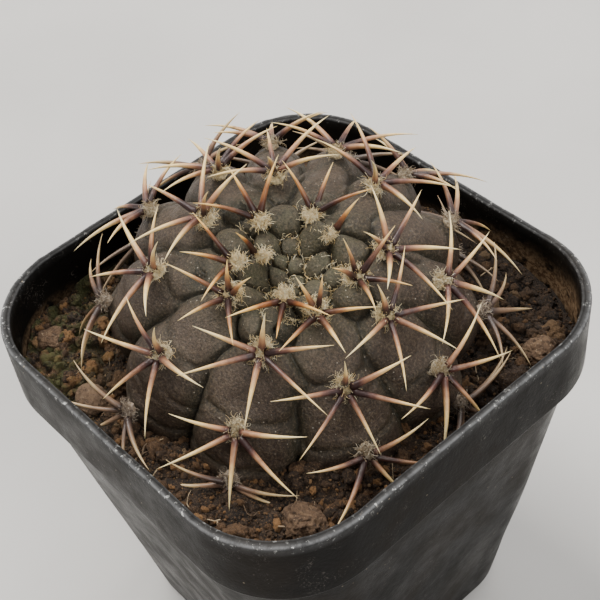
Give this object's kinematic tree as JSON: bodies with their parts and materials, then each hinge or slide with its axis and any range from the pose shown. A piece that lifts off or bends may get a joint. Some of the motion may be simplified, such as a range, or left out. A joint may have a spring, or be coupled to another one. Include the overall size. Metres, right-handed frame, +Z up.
{
  "type": "potted round cactus",
  "caption": "Round ribbed cactus with woolly areoles and curved spreading spines, growing in gritty mix in a thin square nursery pot.",
  "frame": {"origin": "middle of the pot's underside, on the surface that it stands on", "axes": "+Z up through the plant, +X and +Y square to the pot's sides; the plant leans towards +X and -Y"},
  "size_m": [0.07, 0.07, 0.0885],
  "materials": {
    "pot": "black injection-moulded plastic, semi-gloss, dusty, with a worn greyish rim edge",
    "potting_mix": "matt brown gritty potting mix of clods and granules, mossy in places",
    "stem": "matt brown-grey to olive plant skin with fine speckles, greener in the crown and furrows",
    "wool": "matt cream-yellow curly plant wool, greyer with age",
    "spines": "satin stiff spines, reddish brown at the root and straw-coloured to the tip",
    "stones": "matt rounded stones and clods"
  },
  "bodies": {
    "root": {"areole_centre": "wool", "areole_rib01_1": "wool", "areole_rib01_2": "wool", "areole_rib01_3": "wool", "areole_rib02_1": "wool", "areole_rib02_2": "wool", "areole_rib02_3": "wool", "areole_rib03_1": "wool", "areole_rib03_2": "wool", "areole_rib03_3": "wool", "areole_rib04_1": "wool", "areole_rib04_2": "wool", "areole_rib04_3": "wool", "areole_rib04_4": "wool", "areole_rib05_1": "wool", "areole_rib05_2": "wool", "areole_rib05_3": "wool", "areole_rib05_4": "wool", "areole_rib06_1": "wool", "areole_rib06_2": "wool", "areole_rib06_3": "wool", "areole_rib07_1": "wool", "areole_rib07_2": "wool", "areole_rib07_3": "wool", "areole_rib07_4": "wool", "areole_rib08_1": "wool", "areole_rib08_2": "wool", "areole_rib08_3": "wool", "areole_rib09_1": "wool", "areole_rib09_2": "wool", "areole_rib09_3": "wool", "areole_rib10_1": "wool", "areole_rib10_2": "wool", "areole_rib10_3": "wool", "areole_rib11_1": "wool", "areole_rib11_2": "wool", "areole_rib11_3": "wool", "areole_rib11_4": "wool", "areole_rib12_1": "wool", "areole_rib12_2": "wool", "areole_rib12_3": "wool", "cactus_stem": "stem", "clod_back_corner": "stones", "clod_front": "stones", "clod_left_corner": "stones", "clod_right_corner": "stones", "pot": "pot", "potting_mix": "potting_mix", "stone_left": "stones"}
  },
  "joints": []
}
